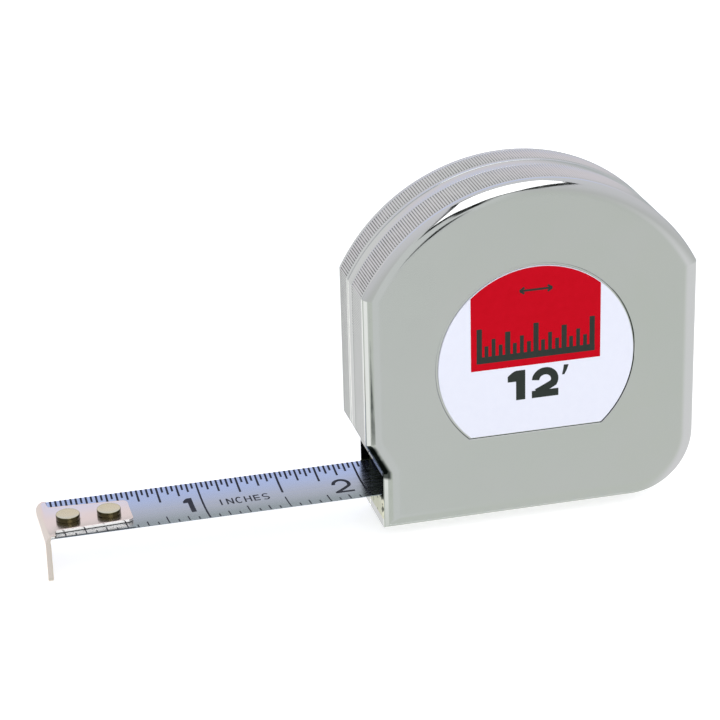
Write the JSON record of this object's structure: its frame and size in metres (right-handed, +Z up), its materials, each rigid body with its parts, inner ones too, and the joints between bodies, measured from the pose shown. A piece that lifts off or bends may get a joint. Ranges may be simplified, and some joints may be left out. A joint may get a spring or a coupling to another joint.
{
  "type": "tape measure",
  "caption": "Pocket push-pull tape measure: D-shaped chrome case standing on its flat base, half-inch printed steel blade drawn out through the mouth, riveted end hook.",
  "frame": {"origin": "centre of the case's flat base, half way between the mouth wall and the rear side, on the mid plane of the case's thickness", "axes": "X along the blade, which leaves the case toward -X; Y through the thickness, with the labelled front face at -Y; Z up from the base"},
  "size_m": [0.1032, 0.0171, 0.0572],
  "materials": {
    "front_case": "satin chrome plate, polished edge, reeded band round the rim",
    "rear_case": "satin chrome plate, polished edge, reeded band round the rim",
    "front_label": "white enamelled foil",
    "label_block": "red printed panel",
    "throat_insert": "moulded cream nylon",
    "centre_post": "turned, bright",
    "centre_screw": "bright plated, slotted",
    "screw_top_left": "bright plated, slotted, countersunk",
    "screw_top_right": "bright plated, slotted, countersunk",
    "screw_low_left": "bright plated, slotted, countersunk",
    "screw_low_right": "bright plated, slotted, countersunk",
    "wave_washer": "spring steel",
    "thrust_washer": "natural nylon",
    "bobbin": "moulded, black",
    "bobbin_bush": "turned",
    "front_flange": "vulcanised fibre",
    "rear_flange": "vulcanised fibre",
    "flange_rivets": "headed",
    "blade_anchor": "headed",
    "blade_coil": "satin chrome on spring steel",
    "blade_run": "satin chrome on spring steel, black graduations",
    "blade_tip": "satin chrome on spring steel, black graduations",
    "end_hook": "nickel plate",
    "rivet_outer": "nickel plate, worn",
    "rivet_inner": "nickel plate, worn",
    "burr_outer": "bright",
    "burr_inner": "bright"
  },
  "bodies": {
    "case": {"front_case": "front_case", "rear_case": "rear_case", "front_label": "front_label", "label_block": "label_block", "throat_insert": "throat_insert", "centre_post": "centre_post", "centre_screw": "centre_screw", "screw_top_left": "screw_top_left", "screw_top_right": "screw_top_right", "screw_low_left": "screw_low_left", "screw_low_right": "screw_low_right", "wave_washer": "wave_washer", "thrust_washer": "thrust_washer", "blade_run": "blade_run"},
    "reel": {"bobbin": "bobbin", "bobbin_bush": "bobbin_bush", "front_flange": "front_flange", "rear_flange": "rear_flange", "flange_rivets": "flange_rivets", "blade_anchor": "blade_anchor", "blade_coil": "blade_coil"},
    "blade": {"blade_tip": "blade_tip", "rivet_outer": "rivet_outer", "rivet_inner": "rivet_inner", "burr_outer": "burr_outer", "burr_inner": "burr_inner"},
    "hook": {"end_hook": "end_hook"}
  },
  "joints": [
    {"name": "blade_slide", "type": "slide", "parent": "case", "child": "blade", "axis": [-1, 0, 0], "range_m": [-0.05145, 3.60515], "deforming": ["blade_run"]},
    {"name": "reel_spin", "type": "hinge", "parent": "case", "child": "reel", "pos_m": [-0.0013, 0, 0.025], "axis": [0, 1, 0], "continuous": true},
    {"name": "hook_float", "type": "slide", "parent": "blade", "child": "hook", "axis": [-1, 0, 0], "range_m": [0, 0.0008]}
  ],
  "couplings": [
    {"joint": "reel_spin", "follows": "blade_slide", "rad_per_m": 52.083}
  ]
}
